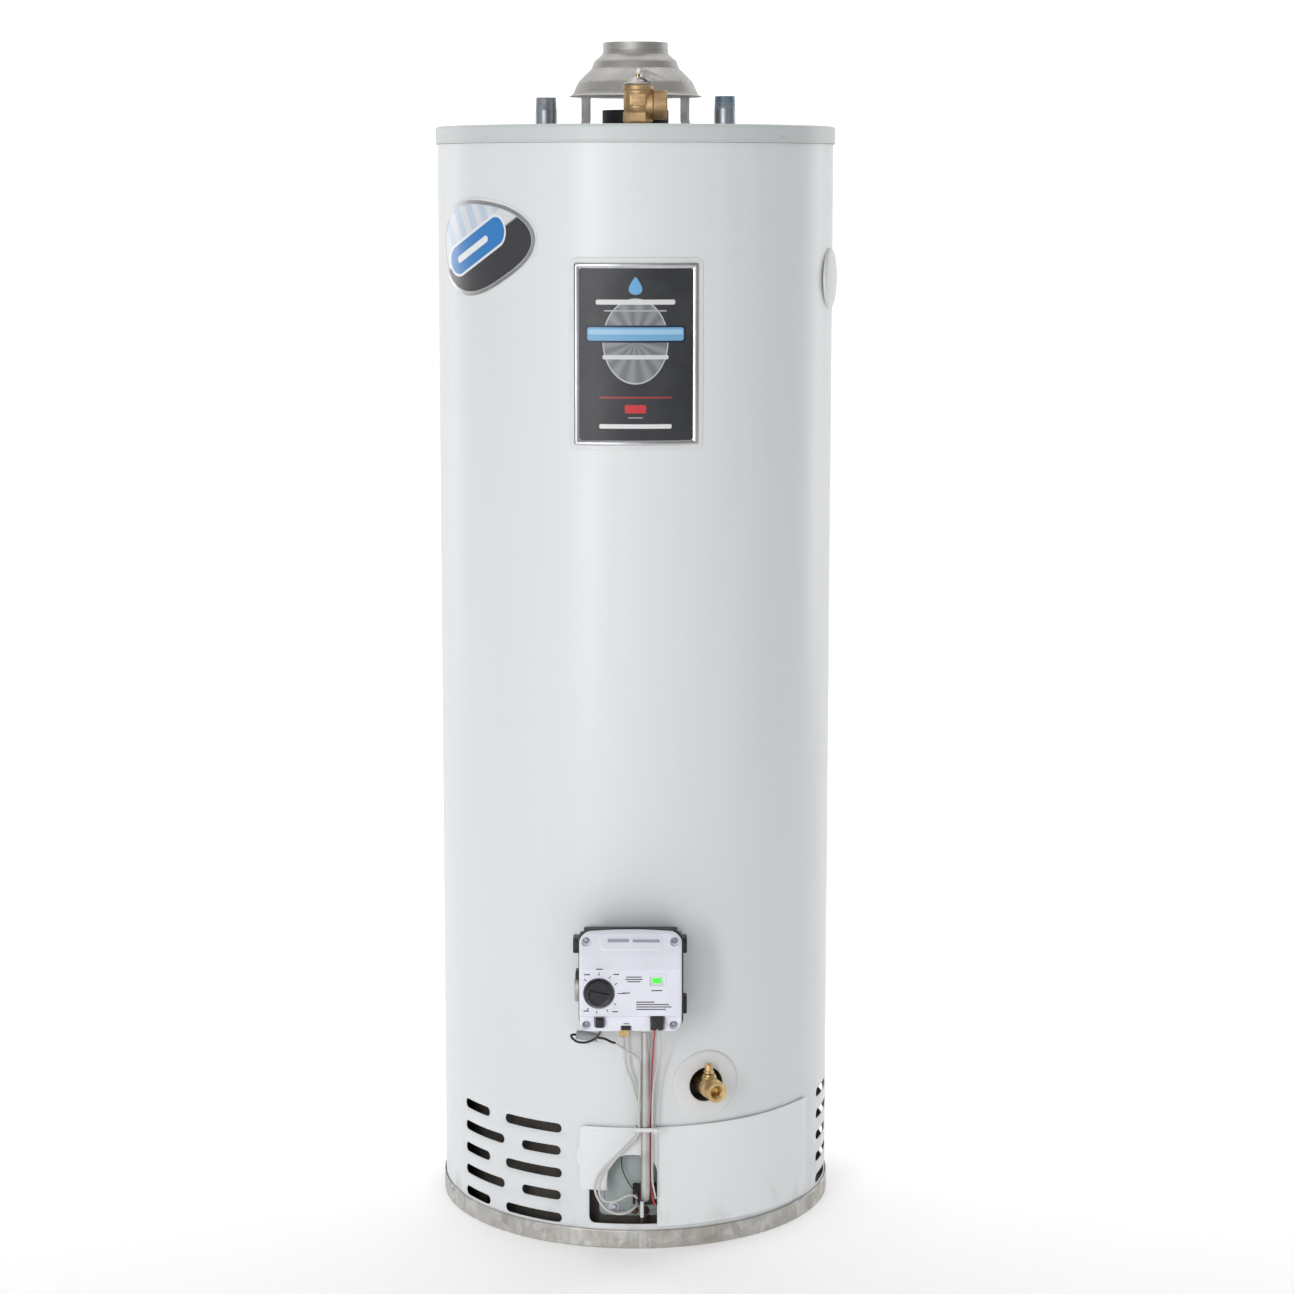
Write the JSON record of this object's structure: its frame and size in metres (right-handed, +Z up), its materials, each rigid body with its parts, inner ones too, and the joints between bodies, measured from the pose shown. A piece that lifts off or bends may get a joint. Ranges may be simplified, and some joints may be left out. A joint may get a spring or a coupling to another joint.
{
  "type": "tank water heater",
  "caption": "Gas-fired storage water heater: a tall round insulated tank with a burner, gas control, drain and relief valves, pipe nipples and a draft hood on top.",
  "frame": {"origin": "on the heater's vertical axis, at the floor, under the middle of the base pan", "axes": "+Z up along the tank axis; -Y is the front, with the gas control; +X is to the right as seen from the front"},
  "size_m": [0.5153, 0.6066, 1.5115],
  "materials": {
    "jacket_paint": "satin",
    "cap_paint": "satin",
    "galvanised_steel": "satin",
    "tank_steel": "matte",
    "foam": "matte",
    "flue_black": "matte",
    "door_steel": "satin",
    "zinc_steel": "satin",
    "brass": "satin",
    "bronze": "satin",
    "stainless_steel": "satin",
    "control_plastic": "satin",
    "black_plastic": "satin",
    "green_lens": "gloss",
    "white_plastic": "satin",
    "red_insulation": "satin",
    "aluminium": "satin",
    "magnesium": "matte",
    "ceramic": "satin"
  },
  "bodies": {
    "heater": {"anode_rod": "magnesium", "base_pan": "galvanised_steel", "burner": "stainless_steel", "cable_tie": "white_plastic", "cold_nipple": "zinc_steel", "com_socket": "black_plastic", "combustion_pan": "tank_steel", "control_body": "black_plastic", "control_cover": "control_plastic", "cover_screw_1": "zinc_steel", "cover_screw_2": "zinc_steel", "cover_screw_3": "zinc_steel", "cover_screw_4": "zinc_steel", "dip_tube": "white_plastic", "draft_hood": "galvanised_steel", "drain_escutcheon": "white_plastic", "drain_valve_body": "brass", "feed_grommet": "black_plastic", "feed_nut": "stainless_steel", "feed_tube": "aluminium", "flame_arrestor": "ceramic", "flue_baffle": "tank_steel", "flue_tube": "flue_black", "gas_inlet": "aluminium", "gas_orifice": "brass", "hot_nipple": "zinc_steel", "igniter_electrode": "ceramic", "igniter_lead": "white_plastic", "igniter_wire_black": "black_plastic", "inner_door": "door_steel", "inner_door_gasket": "foam", "insulation": "foam", "jacket": "jacket_paint", "lead_connector": "black_plastic", "lead_sleeve": "aluminium", "pilot_burner": "stainless_steel", "pilot_fitting": "brass", "pilot_tube": "aluminium", "relief_body": "bronze", "relief_bonnet": "stainless_steel", "relief_pin": "stainless_steel", "relief_spring": "stainless_steel", "side_plug": "white_plastic", "status_lens": "green_lens", "tank_bottom_head": "tank_steel", "tank_shell": "tank_steel", "tank_top_head": "tank_steel", "thermopile": "stainless_steel", "thermopile_lead_red": "red_insulation", "thermopile_lead_white": "white_plastic", "thermowell": "brass", "top_cap": "cap_paint"},
    "outer_door": {"outer_door": "jacket_paint"},
    "dial_stem": {"dial_stem": "stainless_steel"},
    "dial_knob": {"dial_knob": "black_plastic"},
    "igniter_button": {"igniter_button": "black_plastic"},
    "relief_lever": {"relief_lever": "stainless_steel"},
    "relief_stem": {"relief_stem": "brass"},
    "drain_stem": {"drain_stem": "brass", "drain_ball": "stainless_steel"}
  },
  "joints": [
    {"name": "outer_door_slide", "type": "hinge", "parent": "heater", "child": "outer_door", "pos_m": [0, 0, 0.09], "axis": [0, 0, 1], "range_deg": [0, 25]},
    {"name": "dial_push", "type": "slide", "parent": "heater", "child": "dial_stem", "axis": [0, 1, 0], "range_m": [0, 0.004], "stiffness_N_per_m": 900},
    {"name": "dial_turn", "type": "hinge", "parent": "dial_stem", "child": "dial_knob", "pos_m": [-0.0444, -0.336, 0.355], "axis": [0, 1, 0], "range_deg": [-135, 125]},
    {"name": "igniter_push", "type": "slide", "parent": "heater", "child": "igniter_button", "axis": [0, 1, 0], "range_m": [0, 0.005], "stiffness_N_per_m": 700},
    {"name": "relief_lever_lift", "type": "hinge", "parent": "heater", "child": "relief_lever", "pos_m": [0.007, -0.12, 1.4703], "axis": [0, -1, 0], "range_deg": [0, 80]},
    {"name": "relief_stem_lift", "type": "slide", "parent": "heater", "child": "relief_stem", "axis": [0, 0, 1], "range_m": [0, 0.004], "deforming": ["relief_spring"]},
    {"name": "drain_valve_turn", "type": "hinge", "parent": "heater", "child": "drain_stem", "pos_m": [0.09202, -0.24744, 0.21], "axis": [0, 0, 1], "range_deg": [0, 90]}
  ],
  "couplings": [
    {"joint": "relief_stem_lift", "follows": "relief_lever_lift", "m_per_rad": 0.002864}
  ]
}
